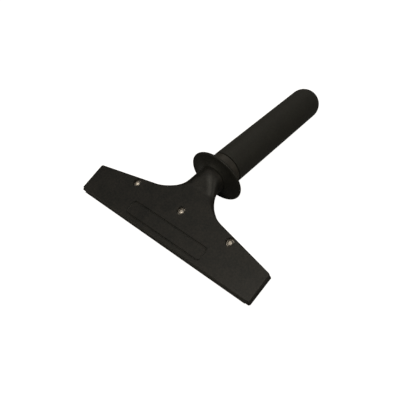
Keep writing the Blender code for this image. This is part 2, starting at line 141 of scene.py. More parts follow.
# Metals: tone, share of it in the darker streaks, roughness, stretch, depth.
METALS = {
    "stainless": ("stainless", 0.7, 0.40, 1.0, 0.00002),
    "zinc": ("zinc", 0.75, 0.4, 1.0, 0.00003),
    "drawn_alloy": ("alloy", 0.8, 0.38, 0.05, 0.00002),
}

FLOOR_HALF = 6.0
# Light that the floor gives back, as a share of its colour.
FLOOR_RETURN = 0.22
LAMP_AIM = (0.0, -0.03, 0.0)
# Lamps: name, place, size and power.
LAMPS = (
    ("softbox", (0.08, -0.52, 1.0), (0.6, 0.5), 4.6),
    ("back_panel", (-0.5, 0.9, 0.9), (0.8, 0.8), 1.5),
    ("front_panel", (-0.6, -0.95, 0.5), (0.8, 0.4), 1.4),
    ("right_panel", (0.95, 0.05, 0.7), (0.5, 0.3), 2.5),
)
# The camera, counted from the centre screw; turned by degrees about X, Y and Z.
CAMERA_REACH = (0.26724, -0.24091, 0.39131)
CAMERA_TURN = (43.636, 3.018, 42.149)
CAMERA_LENS = 53.216
CAMERA_SENSOR = 36.0
CAMERA_CLIP = 0.01


# ---------------------------------------------------------------- properties


def length(name, text, value, low=0.0):
    """Return a length property in metres."""
    return FloatProperty(name=name, description=text, default=value, min=low,
                         unit="LENGTH", subtype="DISTANCE", precision=5)


def colour(name, text, value):
    """Return a linear colour property."""
    return FloatVectorProperty(name=name, description=text, default=value, size=3,
                               min=0.0, max=1.0, subtype="COLOR")


class ScraperHead(bpy.types.PropertyGroup):
    """Sizes of the upper jaw, its shoulders and the neck."""

    screw_line: length("Screw line", "From the mouth to the screws", 34.2 * MM)
    end_length: length("End length", "Depth of the head's straight ends", 30.2 * MM)
    end_corner: length("End corner", "Corner radius at the mouth's ends", 1.1 * MM)
    back_corner: length("Back corner", "Corner radius at the shoulders' ends", 2.2 * MM)
    lip: length("Lip", "Thickness of the upper jaw at the mouth", 3.6 * MM)
    step: length("Step", "From the mouth to the step behind the lower jaw", 46.8 * MM)
    lower_jaw: length("Lower jaw", "From the seam to the lower jaw's underside", 3.9 * MM)
    sweep: length("Sweep", "Radius from the shoulders into the neck", 33.9 * MM)
    neck: length("Neck", "Radius of the round neck", 13.5 * MM)
    bend: length("Bend", "From the mouth to the bend of the neck", 61.9 * MM)
    bend_height: length("Bend height", "From the seam to the grip's axis at the bend", 3.2 * MM)
    round_start: length("Rounding start", "Where the edges start to round over", 42.0 * MM)
    round_full: length("Rounding end", "Where the edges are fully round", 69.8 * MM)
    rise_start: length("Rise start", "Where the slab starts to grow in height", 58.0 * MM)
    rise_full: length("Rise end", "Where the neck has its full height", 75.1 * MM)
    edge: length("Edge", "Fillet along the upper edges", 0.9 * MM)
    lip_chamfer: length("Lip chamfer", "Height of the chamfer along the mouth's upper edge", 0.85 * MM)
    shoulder_angle: FloatProperty(name="Shoulder angle", description="Slope of the shoulders",
                                  default=math.radians(11.75), subtype="ANGLE")
    top_slope: FloatProperty(name="Top slope", description="Top face against the blade",
                             default=math.radians(2.7), subtype="ANGLE")
    panel_length: length("Panel length", "Length of the engraved panel outline", 89.3 * MM)
    panel_width: length("Panel width", "Width of the engraved panel outline", 13.3 * MM)
    panel_corner: length("Panel corner", "Corner radius of the panel outline", 2.5 * MM)
    panel_line: length("Panel line", "Width of the engraved line", 1.5 * MM)
    panel_back: length("Panel place", "From the mouth to the panel's centre", 12.1 * MM)


class ScraperScrews(bpy.types.PropertyGroup):
    """Sizes of the clamp screws, their seats and nuts, from the seam."""

    seat: length("Seat", "Height of the counterbore's floor", 1.9 * MM)
    seat_radius: length("Seat radius", "Radius of the counterbore", 3.85 * MM)
    seat_break: length("Seat break", "Broken edge round the counterbore", 0.3 * MM)
    hole: length("Hole", "Radius of the screw's hole", 1.8 * MM)
    head_low: length("Head underside", "Height of the head's underside", 3.0 * MM)
    head_height: length("Head height", "Height of the domed head", 1.65 * MM)
    head_rim: length("Head rim", "Height of the straight rim below the dome", 0.35 * MM)
    head_radius: length("Head radius", "Radius of the domed head", 2.85 * MM)
    socket: length("Socket", "Hexagon socket across its flats", 2.0 * MM)
    socket_depth: length("Socket depth", "Depth of the socket", 0.9 * MM)
    shank: length("Shank", "Radius of the shank", 1.5 * MM)
    tip: length("Tip", "From the lower jaw's underside up to the screw's tip", 0.1 * MM)
    nut: length("Nut", "Nut across its flats", 5.5 * MM)
    nut_height: length("Nut height", "Thickness of the nut", 1.8 * MM)
    nut_break: length("Nut break", "Broken edge round the nut's bore", 0.25 * MM)


class ScraperBlade(bpy.types.PropertyGroup):
    """Sizes of the blade strip."""

    proud: length("Proud", "How far the edge stands out of the mouth", 0.7 * MM)
    depth: length("Depth", "From the edge to the rear", 24.0 * MM)
    thickness: length("Thickness", "Thickness of the strip", 0.7 * MM)
    bevel: length("Bevel", "Length of the ground bevel", 3.0 * MM)
    corner: length("Corner", "Broken corners at the rear", 0.15 * MM)


class ScraperHandle(bpy.types.PropertyGroup):
    """Sizes of the guard, collar and grip."""

    bore: length("Bore", "Radius of the bore that takes the tube", 8.3 * MM)
    hub: length("Hub", "Radius of the guard's hub where the neck meets it", 14.7 * MM)
    seat: length("Seat", "Radius of the guard's flat rear face", 18.1 * MM)
    rim: length("Rim", "Radius of the guard's rounded rim", 1.3 * MM)
    rim_back: length("Rim place", "From the hub's front to the middle of the rim", 4.9 * MM)
    flare: length("Flare", "Height of the hub's rounded edge", 0.6 * MM)
    collar_more: length("Collar more", "How far the collar runs into the groove", 0.4 * MM)
    edge: length("Edge", "Rounding of the collar's and grip's edges", 0.6 * MM)
    rear_radius: length("Rear radius", "Radius of the grip at its domed end", 15.8 * MM)


class ScraperColours(bpy.types.PropertyGroup):
    """Colours of the finishes."""

    head: colour("Head", "Black moulded plastic of the head", (0.0022, 0.0026, 0.0016))
    head_pale: colour("Head scuffs", "Paler tone in the head's plastic", (0.0150, 0.0128, 0.0100))
    guard: colour("Guard", "Black plastic of the guard", (0.0110, 0.0107, 0.0090))
    grip: colour("Grip", "Black rubber of the grip", (0.0115, 0.0112, 0.0090))
    collar: colour("Collar", "Slightly paler rubber of the collar", (0.0190, 0.0165, 0.0130))
    stainless: colour("Stainless", "Bright screws", (0.60, 0.55, 0.49))
    zinc: colour("Zinc", "Plated nuts", (0.50, 0.49, 0.46))
    oxide: colour("Oxide", "Blackened blade", (0.022, 0.022, 0.021))
    ground: colour("Ground steel", "Ground edge of the blade", (0.060, 0.059, 0.056))
    alloy: colour("Alloy", "Handle tube", (0.60, 0.60, 0.61))
    floor: colour("Floor", "Pale floor", (1.0, 0.99, 0.975))
    lamp: colour("Lamp", "Warm tint of the studio lamps", (1.0, 0.935, 0.79))


# ---------------------------------------------------------------- mesh helpers


def mesh_object(name, points, faces):
    """Put arrays of points and faces into a new mesh object at the origin."""
    mesh = bpy.data.meshes.new(name)
    mesh.from_pydata(points.tolist(), [], [list(face) for face in faces])
    mesh.update()
    mesh.validate()
    piece = bpy.data.objects.new(name, mesh)
    bpy.context.scene.collection.objects.link(piece)
    return piece


def grid_faces(rows, columns, wrap_rows=False):
    """Return the quads of a grid whose columns, and rows if asked, close on themselves."""
    last = rows if wrap_rows else rows - 1
    i, j = np.meshgrid(np.arange(last), np.arange(columns), indexing="ij")
    down = (i + 1) % rows
    right = (j + 1) % columns
    quads = np.stack((i * columns + j, i * columns + right,
                      down * columns + right, down * columns + j), axis=-1)
    return quads.reshape(-1, 4)


def closed_ring(name, rings):
    """Join rings (rows x columns x 3) into a ring whose last row meets its first."""
    rows, columns = rings.shape[:2]
    return mesh_object(name, rings.reshape(-1, 3), grid_faces(rows, columns, wrap_rows=True))


def closed_loft(name, rings):
    """Join rings (rows x columns x 3) into a tube with flat caps at both ends."""
    rows, columns = rings.shape[:2]
    faces = grid_faces(rows, columns).tolist()
    faces.append(list(range(columns))[::-1])
    faces.append(list(range((rows - 1) * columns, rows * columns)))
    return mesh_object(name, rings.reshape(-1, 3), faces)


def point_out(piece):
    """Merge doubled points and point every face out."""
    shape = bmesh.new()
    shape.from_mesh(piece.data)
    bmesh.ops.remove_doubles(shape, verts=shape.verts[:], dist=1e-6)
    bmesh.ops.recalc_face_normals(shape, faces=shape.faces[:])
    shape.to_mesh(piece.data)
    shape.free()


def finish(piece, material, angle=35.0, weighted=True):
    """Point the faces out, smooth the piece and give it its material."""
    point_out(piece)
    piece.data.shade_smooth()
    piece.data.set_sharp_from_angle(angle=math.radians(angle))
    if weighted:
        step = piece.modifiers.new("even_shading", "WEIGHTED_NORMAL")
        step.keep_sharp = True
        step.weight = 100
        apply_modifiers(piece)
    piece.data.materials.clear()
    piece.data.materials.append(material)
    return piece


def apply_modifiers(piece):
    """Keep what the modifiers make as the piece's own mesh."""
    bpy.context.view_layer.update()
    graph = bpy.context.evaluated_depsgraph_get()
    mesh = bpy.data.meshes.new_from_object(piece.evaluated_get(graph))
    piece.modifiers.clear()
    piece.data = mesh


def cut_away(piece, cutters):
    """Take each cutter out of the piece and remove the cutters."""
    point_out(piece)
    for cutter in cutters:
        point_out(cutter)
        step = piece.modifiers.new("cut", "BOOLEAN")
        step.operation = "DIFFERENCE"
        step.solver = "EXACT"
        step.object = cutter
    apply_modifiers(piece)
    for cutter in cutters:
        bpy.data.objects.remove(cutter)


def jaw_points(places):
    """Turn points in the jaw frame into points of the model."""
    head = bpy.context.scene.scraper_head
    origin = SCREW_PLACES["centre"] - JAW_BACK * head.screw_line
    return origin + places @ JAW_BASIS


def on_jaw(points, place):
    """Stand a shape's axis along the jaw's normal at a screw's place."""
    return place + points @ JAW_BASIS


def turns(steps):
    """Return evenly spaced angles round a full turn."""
    return 2 * np.pi * np.arange(steps) / steps


def spun(profile, steps):
    """Carry a profile of (radius, height) round an axis: x = r cos t, y = r sin t."""
    turn = turns(steps)
    profile = np.asarray(profile)
    radius, height = profile[:, :1], profile[:, 1:]
    return np.stack((radius * np.cos(turn), radius * np.sin(turn),
                     np.broadcast_to(height, (len(profile), steps))), axis=-1)


def along_grip(points):
    """Stand a turned shape's axis along the grip, its zero at the guard's front."""
    x, y, z = np.moveaxis(points, -1, 0)
    return np.stack((x, GUARD_FRONT_Y + z, GRIP_AXIS_Z - y), axis=-1)


def quarter(centre_r, centre_z, radius, start, end, steps=8):
    """Return an arc's points as (radius, height), angles in degrees."""
    angle = np.radians(np.linspace(start, end, steps))
    return np.stack((centre_r + radius * np.cos(angle), centre_z + radius * np.sin(angle)), 1)


def ease(value):
    """Ease from 0 to 1 with level ends: 3 v^2 - 2 v^3."""
    value = np.clip(value, 0.0, 1.0)
    return value * value * (3.0 - 2.0 * value)


# ---------------------------------------------------------------- node groups


def new_group(name, inputs, outputs):
    """Return a shader node group with named sockets and its two end nodes."""
    group = bpy.data.node_groups.new(name, "ShaderNodeTree")
    for socket, value in inputs:
        made = group.interface.new_socket(socket, in_out="INPUT", socket_type="NodeSocketFloat")
        made.default_value = value
    for socket in outputs:
        group.interface.new_socket(socket, in_out="OUTPUT", socket_type="NodeSocketFloat")
    start = group.nodes.new("NodeGroupInput")
    end = group.nodes.new("NodeGroupOutput")
    start.location = (-900, 0)
    end.location = (600, 0)
    return group, start, end


def math_node(tree, operation, first, second):
    """Add a Math node fed by sockets or plain numbers and return its output."""
    node = tree.nodes.new("ShaderNodeMath")
    node.operation = operation
    for slot, value in enumerate((first, second)):
        if isinstance(value, (int, float)):
            node.inputs[slot].default_value = value
        else:
            tree.links.new(value, node.inputs[slot])
    return node.outputs[0]


def noise_node(tree, vector, scale, detail=2.0, roughness=0.5):
    """Add a Noise Texture on a vector; scale is a number or a socket."""
    node = tree.nodes.new("ShaderNodeTexNoise")
    node.inputs["Detail"].default_value = detail
    node.inputs["Roughness"].default_value = roughness
    tree.links.new(vector, node.inputs["Vector"])
    if isinstance(scale, (int, float)):
        node.inputs["Scale"].default_value = scale
    else:
        tree.links.new(scale, node.inputs["Scale"])
    return node.outputs[0]


def moulded_grain():
    """Moulded grain: pebbles over a softer unevenness as a height, and a mottle."""
    group, start, end = new_group("moulded_grain", (("Pebbles", 2600.0), ("Waves", 240.0),
                                                    ("Wave share", 0.35)), ("Height", "Mottle"))
    place = group.nodes.new("ShaderNodeTexCoord").outputs["Object"]
    cells = group.nodes.new("ShaderNodeTexVoronoi")
    cells.feature = "SMOOTH_F1"
    group.links.new(place, cells.inputs["Vector"])
    group.links.new(start.outputs["Pebbles"], cells.inputs["Scale"])
    waves = noise_node(group, place, start.outputs["Waves"], 3.0)
    share = math_node(group, "MULTIPLY", waves, start.outputs["Wave share"])
    height = math_node(group, "ADD", cells.outputs["Distance"], share)
    group.links.new(height, end.inputs["Height"])
    clouds = math_node(group, "MULTIPLY", noise_node(group, place, 75.0, 5.0, 0.62), 0.4)
    specks = math_node(group, "MULTIPLY", noise_node(group, place, 620.0, 2.0, 0.6), 0.6)
    group.links.new(math_node(group, "ADD", clouds, specks), end.inputs["Mottle"])
    return group


def handling_wear():
    """Handling marks: long faint scratches and rubbed patches, as masks."""
    group, start, end = new_group("handling_wear", (("Scratch scale", 60.0),
                                                    ("Patch scale", 18.0)), ("Scratch", "Patch"))
    place = group.nodes.new("ShaderNodeTexCoord").outputs["Object"]
    stretch = group.nodes.new("ShaderNodeMapping")
    stretch.inputs["Rotation"].default_value = (0.3, 0.1, 0.6)
    stretch.inputs["Scale"].default_value = (1.0, 9.0, 9.0)
    group.links.new(place, stretch.inputs["Vector"])
    lines = noise_node(group, stretch.outputs[0], start.outputs["Scratch scale"], 6.0, 0.7)
    sharp = math_node(group, "SUBTRACT", lines, 0.64)
    thin = math_node(group, "MULTIPLY", sharp, 9.0)
    clamped = math_node(group, "MINIMUM", math_node(group, "MAXIMUM", thin, 0.0), 1.0)
    group.links.new(clamped, end.inputs["Scratch"])
    patch = noise_node(group, place, start.outputs["Patch scale"], 3.0, 0.55)
    group.links.new(patch, end.inputs["Patch"])
    return group


def brushing():
    """Brushing: fine streaks along one direction, as a height and a tone."""
    group, start, end = new_group("brushing", (("Scale", 900.0), ("Stretch", 30.0)),
                                  ("Height", "Tone"))
    place = group.nodes.new("ShaderNodeTexCoord").outputs["Object"]
    parts = group.nodes.new("ShaderNodeSeparateXYZ")
    group.links.new(place, parts.inputs[0])
    joined = group.nodes.new("ShaderNodeCombineXYZ")
    for axis in ("Y", "Z"):
        group.links.new(math_node(group, "MULTIPLY", parts.outputs[axis],
                                  start.outputs["Stretch"]), joined.inputs[axis])
    group.links.new(parts.outputs["X"], joined.inputs["X"])
    streaks = noise_node(group, joined.outputs[0], start.outputs["Scale"], 3.0)
    group.links.new(streaks, end.inputs["Height"])
    tone = noise_node(group, place, 140.0, 3.0)
    group.links.new(tone, end.inputs["Tone"])
    return group


# ---------------------------------------------------------------- materials


def place_group(tree, builder, values):
    """Place a shared node group, building it once, with this finish's values."""
    group = bpy.data.node_groups.get(builder.__name__) or builder()
    node = tree.nodes.new("ShaderNodeGroup")
    node.node_tree = group
    for socket, value in values.items():
        node.inputs[socket].default_value = value
    return node


def blended(tree, factor, low, high):
    """Mix two colours by a factor socket; the first may be a socket too."""
    node = tree.nodes.new("ShaderNodeMix")
    node.data_type = "RGBA"
    tree.links.new(factor, node.inputs[0])
    if isinstance(low, bpy.types.NodeSocket):
        tree.links.new(low, node.inputs[6])
    else:
        node.inputs[6].default_value = (*low, 1.0)
    node.inputs[7].default_value = (*high, 1.0)
    return node.outputs[2]


def scaled(tone, share):
    """Return a colour times a number."""
    return [share * part for part in tone]


def ranged(tree, value, low, high, from_low=0.3, from_high=0.7):
    """Map a value onto a range with a Map Range node."""
    node = tree.nodes.new("ShaderNodeMapRange")
    tree.links.new(value, node.inputs["Value"])
    node.inputs["From Min"].default_value = from_low
    node.inputs["From Max"].default_value = from_high
    node.inputs["To Min"].default_value = low
    node.inputs["To Max"].default_value = high
    return node.outputs[0]


def bumped(tree, shader, height, strength, distance):
    """Feed a height into the shader's normal through a Bump node."""
    node = tree.nodes.new("ShaderNodeBump")
    node.inputs["Strength"].default_value = strength
    node.inputs["Distance"].default_value = distance
    tree.links.new(height, node.inputs["Height"])
    tree.links.new(node.outputs[0], shader.inputs["Normal"])


def start_material(name):
    """Return a new material with its tree and Principled shader."""
    material = bpy.data.materials.new(name)
    material.use_nodes = True
    tree = material.node_tree
    return material, tree, tree.nodes["Principled BSDF"]


def black_plastic(name, tone, pale, roughness, specular, sheen, pebbles, depth):
    """Black moulded plastic or rubber: mottled tone, grain and faint rubbing."""
    material, tree, shader = start_material(name)
    grain = place_group(tree, moulded_grain, {"Pebbles": pebbles})
    wear = place_group(tree, handling_wear, {})
    base = blended(tree, ranged(tree, grain.outputs["Mottle"], 0.0, 1.0, 0.38, 0.64), tone, pale)
    # A scratch shows a quarter of a tone that is 2.2 times the pale one.
    scratch = math_node(tree, "MULTIPLY", wear.outputs["Scratch"], 0.25)
    tree.links.new(blended(tree, scratch, base, scaled(pale, 2.2)), shader.inputs["Base Color"])
    tree.links.new(ranged(tree, wear.outputs["Patch"], roughness - 0.06, roughness + 0.06),
                   shader.inputs["Roughness"])
    shader.inputs["Specular IOR Level"].default_value = specular
    # Fine grain scatters light where the surface turns away.
    shader.inputs["Sheen Weight"].default_value = sheen
    shader.inputs["Sheen Roughness"].default_value = 0.45
    bumped(tree, shader, grain.outputs["Height"], 0.5, depth)
    return material


def metal(name, tone, dark, roughness, stretch, depth):
    """Brushed or turned metal with a slightly uneven tone."""
    material, tree, shader = start_material(name)
    brush = place_group(tree, brushing, {"Stretch": stretch})
    tree.links.new(blended(tree, ranged(tree, brush.outputs["Tone"], 0.0, 1.0), dark, tone),
                   shader.inputs["Base Color"])
    tree.links.new(ranged(tree, brush.outputs["Height"], roughness - 0.05, roughness + 0.08),
                   shader.inputs["Roughness"])
    shader.inputs["Metallic"].default_value = 1.0
    bumped(tree, shader, brush.outputs["Height"], 0.3, depth)
    return material


def blade_steel():
    """Blackened strip with a paler ground edge; the mask is the piece's attribute."""
    tones = bpy.context.scene.scraper_colours
    material, tree, shader = start_material("blade_finish")
    brush = place_group(tree, brushing, {"Scale": 1400.0, "Stretch": 0.05})
    ground = tree.nodes.new("ShaderNodeAttribute")
    ground.attribute_name = "ground"
    tree.links.new(blended(tree, ground.outputs["Fac"], tones.oxide, tones.ground),
                   shader.inputs["Base Color"])
    tree.links.new(ranged(tree, brush.outputs["Height"], 0.28, 0.46), shader.inputs["Roughness"])
    shader.inputs["Metallic"].default_value = 1.0
    bumped(tree, shader, brush.outputs["Height"], 0.4, 0.00004)
    return material


def finish_named(name):
    """Return a finish by name, building it the first time."""
    known = bpy.data.materials.get(name)
    if known:
        return known
    tones = bpy.context.scene.scraper_colours
    if name in MOULDED:
        tone, pale, *looks = MOULDED[name]
        tone = getattr(tones, tone)
        pale = getattr(tones, pale) if pale else scaled(tone, PALE_SHARE)
        return black_plastic(name, tone, pale, *looks)
    if name in METALS:
        tone, share, *looks = METALS[name]
        tone = getattr(tones, tone)
        return metal(name, tone, scaled(tone, share), *looks)
    return blade_steel()


# ---------------------------------------------------------------- the head


def outline_rows(head):
    """Return (y, half width, outline angle) rows from the mouth to the round neck.

    The outline runs along the mouth's corner arc, the straight end, the back
    corner's arc, the shoulder line and the sweep's arc, at even steps, so the
    rows lie close together where the width changes fast.
    """
    half = (CAD_BOUNDS[1][0] - CAD_BOUNDS[0][0]) / 2
    slope = math.tan(head.shoulder_angle)
    turn = math.pi / 2 - head.shoulder_angle
    corner_y = head.end_length + (half - head.neck) * slope
    tangent = head.sweep * math.tan(turn / 2)
    centre = np.array((head.neck + head.sweep, corner_y + tangent))
    cut = head.back_corner * math.tan(turn / 2)
    parts = []
    angle = np.linspace(-np.pi / 2 + CORNER_START, 0.0, CORNER_ROWS)
    parts.append(np.stack((half - head.end_corner * (1 - np.cos(angle)),
                           head.end_corner * (1 + np.sin(angle)),
                           np.pi / 2 + angle), 1))
    rows = np.linspace(head.end_corner + FRONT_ROOM, head.end_length - cut - BACK_ROOM, END_ROWS)
    parts.append(np.stack((np.full(END_ROWS, half), rows, np.full(END_ROWS, np.pi / 2)), 1))
    angle = np.linspace(0.0, turn, CORNER_ROWS)
    parts.append(np.stack((half - head.back_corner * (1 - np.cos(angle)),
                           head.end_length - cut + head.back_corner * np.sin(angle),
                           np.pi / 2 - angle), 1))
    first = parts[-1][-1]
    last_y = centre[1] - head.sweep * math.cos(head.shoulder_angle)
    last_x = centre[0] - head.sweep * math.sin(head.shoulder_angle)
    share = np.linspace(0.0, 1.0, SHOULDER_ROWS + 2)[1:-1]
    parts.append(np.stack((first[0] + (last_x - first[0]) * share,
                           first[1] + (last_y - first[1]) * share,
                           np.full(SHOULDER_ROWS, head.shoulder_angle)), 1))
    angle = np.linspace(head.shoulder_angle, np.pi / 2, SWEEP_ROWS)
    parts.append(np.stack((centre[0] - head.sweep * np.sin(angle),
                           centre[1] - head.sweep * np.cos(angle), angle), 1))
    rows = np.concatenate(parts)
    return rows[:, 1], rows[:, 0], rows[:, 2]


def box_rings(centres, half_width, half_height, round_x, round_z, lean, corner_steps=14):
    """Return rounded boxes, one for each row, in planes that lean back.

    Each corner is a quarter of an ellipse, so a fillet keeps its true radius
    where the outline runs almost along the section.
    """
    turn = np.linspace(0.0, np.pi / 2, corner_steps)
    rings = []
    for side, rise, start in CORNERS:
        angle = np.radians(start) + turn
        x = side * (half_width - round_x)[:, None] + round_x[:, None] * np.cos(angle)
        z = rise * (half_height - round_z)[:, None] + round_z[:, None] * np.sin(angle)
        rings.append(np.stack((x, z), -1))
    flat = np.concatenate(rings, axis=1)
    up = np.stack((np.zeros_like(lean), np.sin(lean), np.cos(lean)), -1)
    places = centres[:, None, :] + flat[..., 1:] * up[:, None, :]
    places[..., 0] += flat[..., 0]
    return places


def head_rings(head):
    """Return the head's sections from the lip to the neck's end, in the jaw frame."""
    y, half_width, turn = outline_rows(head)
    bend_y = jaw_points(np.array((0.0, head.bend, head.bend_height)))[1]
    neck_length = GUARD_FRONT_Y - GAP - bend_y
    end_y = head.bend + neck_length * math.cos(SEAM_TILT)
    tail = np.linspace(y[-1], end_y, NECK_ROWS + 1)[1:]
    y = np.concatenate((y, tail))
    half_width = np.concatenate((half_width, np.full(len(tail), head.neck)))
    turn = np.concatenate((turn, np.full(len(tail), np.pi / 2)))
    # The step behind the lower jaw needs a row just before and just behind it.
    y_step = np.array((head.step - STEP_HALF, head.step + STEP_HALF))
    at = np.searchsorted(y, head.step)
    half_width = np.insert(half_width, at, np.interp(y_step, y, half_width))
    turn = np.insert(turn, at, np.interp(y_step, y, turn))
    y = np.insert(y, at, y_step)

    under = np.where(y < head.step, 0.0, -head.lower_jaw)
    top = head.lip + y * math.tan(head.top_slope)
    risen = ease((y - head.rise_start) / (head.rise_full - head.rise_start))
    rounded = ease((y - head.round_start) / (head.round_full - head.round_start))
    axis_z = head.bend_height - (y - head.bend) * math.tan(SEAM_TILT)
    middle = (top + under) / 2
    half = (top - under) / 2
    middle = middle + (axis_z - middle) * risen
    half_height = half + (head.neck - half) * risen
    round_z = np.minimum(head.edge + (head.neck - head.edge) * rounded, half_height)
    round_x = np.minimum(head.edge / np.maximum(np.sin(turn), FILLET_SINE),
                         FILLET_STRETCH * head.edge)
    round_x = np.minimum(round_x + (head.neck - round_x) * rounded, half_width)
    lean = SEAM_TILT * ease((y - head.step) / (end_y - head.step))
    centres = np.stack((np.zeros_like(y), y, middle), -1)
    # The last row sits square to the grip, on its axis.
    centres[-1] = (0.0, end_y, head.bend_height - neck_length * math.sin(SEAM_TILT))
    return box_rings(centres, half_width, half_height, round_x, round_z, lean)


def lip_rings(rings, head):
    """Shape the mouth: a chamfer above, a small rounding below, on the first rows."""
    front = rings[0].copy()
    middle = (front[:, 2].max() + front[:, 2].min()) / 2
    rows = []
    for rise, back in LIP_STEPS:
        ring = front.copy()
        ring[:, 1] = head.lip_chamfer * back
        inset = np.where(front[:, 2] > middle, head.lip_chamfer * rise, LIP_UNDER * rise)
        high = np.clip(np.abs(front[:, 2] - middle) / (head.lip / 2), 0.0, 1.0)
        ring[:, 2] -= np.sign(front[:, 2] - middle) * inset * high
        ring[:, 0] -= np.sign(ring[:, 0]) * LIP_SIDE * rise
        rows.append(ring)
    keep = rings[:, :, 1].min(axis=1) > rows[-1][0, 1] + LIP_ROOM
    return np.concatenate((np.stack(rows), rings[keep]))


def drilled(name, profile, place, steps=64):
    """Return a closed turned cutter along the jaw's normal, through a screw's place."""
    return closed_loft(name, on_jaw(spun(profile, steps), place))


def panel_cutter(head):
    """Return a thin bar swept round a rounded rectangle, to engrave its outline."""
    long_half, wide_half = head.panel_length / 2, head.panel_width / 2
    corner = head.panel_corner
    path = []
    for side, rise, start in CORNERS:
        angle = np.radians(np.linspace(start, start + 90, 10))
        path.append(np.stack((side * (long_half - corner) + corner * np.cos(angle),
                              rise * (wide_half - corner) + corner * np.sin(angle),
                              np.cos(angle), np.sin(angle)), -1))
    path = np.concatenate(path)
    # The bar is an octagon, as wide as the line across its flats.
    around = np.radians(np.arange(0, 360, 45) + 22.5)
    bar = head.panel_line / 2 / math.cos(math.pi / 8)
    out = path[:, None, 2:] * (bar * np.cos(around))[None, :, None]
    flat = path[:, None, :2] + out
    rise = np.broadcast_to(bar * np.sin(around), flat.shape[:2])
    y = flat[..., 1] + head.panel_back
    top = head.lip + y * math.tan(head.top_slope)
    return closed_ring("panel_cutter", jaw_points(np.stack((flat[..., 0], y, top + rise), -1)))


class SCRAPER_OT_head(bpy.types.Operator):
    """Build the upper jaw, shoulders and neck as one lofted moulding"""

    bl_idname = "scraper.head"
    bl_label = "Head"

    def execute(self, context):
        head = context.scene.scraper_head
        rings = lip_rings(head_rings(head), head)
        shell = closed_loft("head_shell", jaw_points(rings))
        screws = context.scene.scraper_screws
        top = head.lip + head.screw_line * math.tan(head.top_slope)
        over = top + CUTTER_REACH
        radius, open_radius = screws.seat_radius, screws.seat_radius + screws.seat_break
        sink = ((CUTTER_TIP_RADIUS, screws.seat), (radius, screws.seat),
                (radius, top - screws.seat_break), (open_radius, top + 0.05 * MM),
                (open_radius, over), (CUTTER_TIP_RADIUS, over))
        bore = ((screws.hole, -CUTTER_REACH / 2), (screws.hole, screws.seat + CUTTER_REACH / 2))
        cutters = [panel_cutter(head)]
        for side in SIDES:
            cutters.append(drilled("sink_" + side, sink, SCREW_PLACES[side]))
            cutters.append(drilled("bore_" + side, bore, SCREW_PLACES[side], 32))
        cut_away(shell, cutters)
        finish(shell, finish_named("head_finish"))
        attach(shell, "handle_and_head")
        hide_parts("head_body")
        return {"FINISHED"}


# ---------------------------------------------------------------- screws and nuts


def hexagon(angle):
    """Return a hexagon's radius, one across its flats, at each angle."""
    sector = np.pi / 3
    return 0.5 / np.cos((angle + sector / 2) % sector - sector / 2)


def ring_stack(rings, angle):
    """Stack (radius, height) rings, each radius a number or an array over the angles."""
    return np.stack([np.stack((radius * np.cos(angle), radius * np.sin(angle),
                               np.full(len(angle), height)), -1) for radius, height in rings])


def button_screw(name, place, turn):
    """Build a domed screw with a hexagon socket, from rings round its axis.

    The rings run from the socket's floor up its wall, over its broken edge, down
    the dome and along the shank.  A ring's radius is a circle's, or a hexagon's
    in the socket, and near the socket a mix of both.
    """
    screws = bpy.context.scene.scraper_screws
    angle = turns(96)
    crown = screws.head_low + screws.head_height
    rim = screws.head_low + screws.head_rim
    rise = crown - rim
    ball = (screws.head_radius ** 2 + rise ** 2) / (2 * rise)
    socket = screws.socket * hexagon(angle - turn)
    bottom = crown - screws.socket_depth
    rings = [(0.02 * socket, bottom - 0.12 * MM), (0.6 * socket, bottom - 0.08 * MM),
             (socket, bottom), (socket, crown - 0.2 * MM), (1.03 * socket, crown - 0.12 * MM)]
    # The dome is a ball's cap; its first rows follow the socket's hexagon in part.
    inner, outer = 0.65 * screws.socket, screws.head_radius - 0.1 * MM
    for share in np.linspace(0.0, 1.0, 16):
        radius = inner + (outer - inner) * share
        height = crown - ball + math.sqrt(ball ** 2 - radius ** 2)
        hexed = 0.6 * max(0.0, 1.0 - share * 12.0)
        rings.append((radius + (1.12 * socket - radius) * hexed, height))
    tip = screws.tip - bpy.context.scene.scraper_head.lower_jaw
    rings += [(screws.head_radius - 0.03 * MM, rim + 0.04 * MM),
              (screws.head_radius, rim - 0.05 * MM),
              (screws.head_radius, screws.head_low + 0.1 * MM),
              (screws.head_radius - 0.1 * MM, screws.head_low),
              (screws.shank, screws.head_low), (screws.shank, tip + GAP),
              (screws.shank - GAP, tip), (TIP_RADIUS, tip)]
    return closed_loft(name, on_jaw(ring_stack(rings, angle), place))


def hex_nut(name, place):
    """Build a thin nut: a hexagon whose corners a cone has broken, round a bore."""
    screws = bpy.context.scene.scraper_screws
    angle = turns(72)
    flat = screws.nut * hexagon(angle)
    low = -bpy.context.scene.scraper_head.lower_jaw
    high = low + screws.nut_height
    cone = screws.nut / 2 - 0.05 * MM
    part = np.minimum(flat, screws.nut / 2 + 0.2 * MM)
    bore, broken = screws.hole, screws.nut_break
    rings = [(bore + broken, high), (cone, high), (part, high - 0.12 * MM),
             (flat, high - 0.32 * MM), (flat, low + 0.32 * MM), (part, low + 0.12 * MM),
             (cone, low), (bore + broken, low), (bore, low + broken), (bore, high - broken)]
    return closed_ring(name, on_jaw(ring_stack(rings, angle), place))


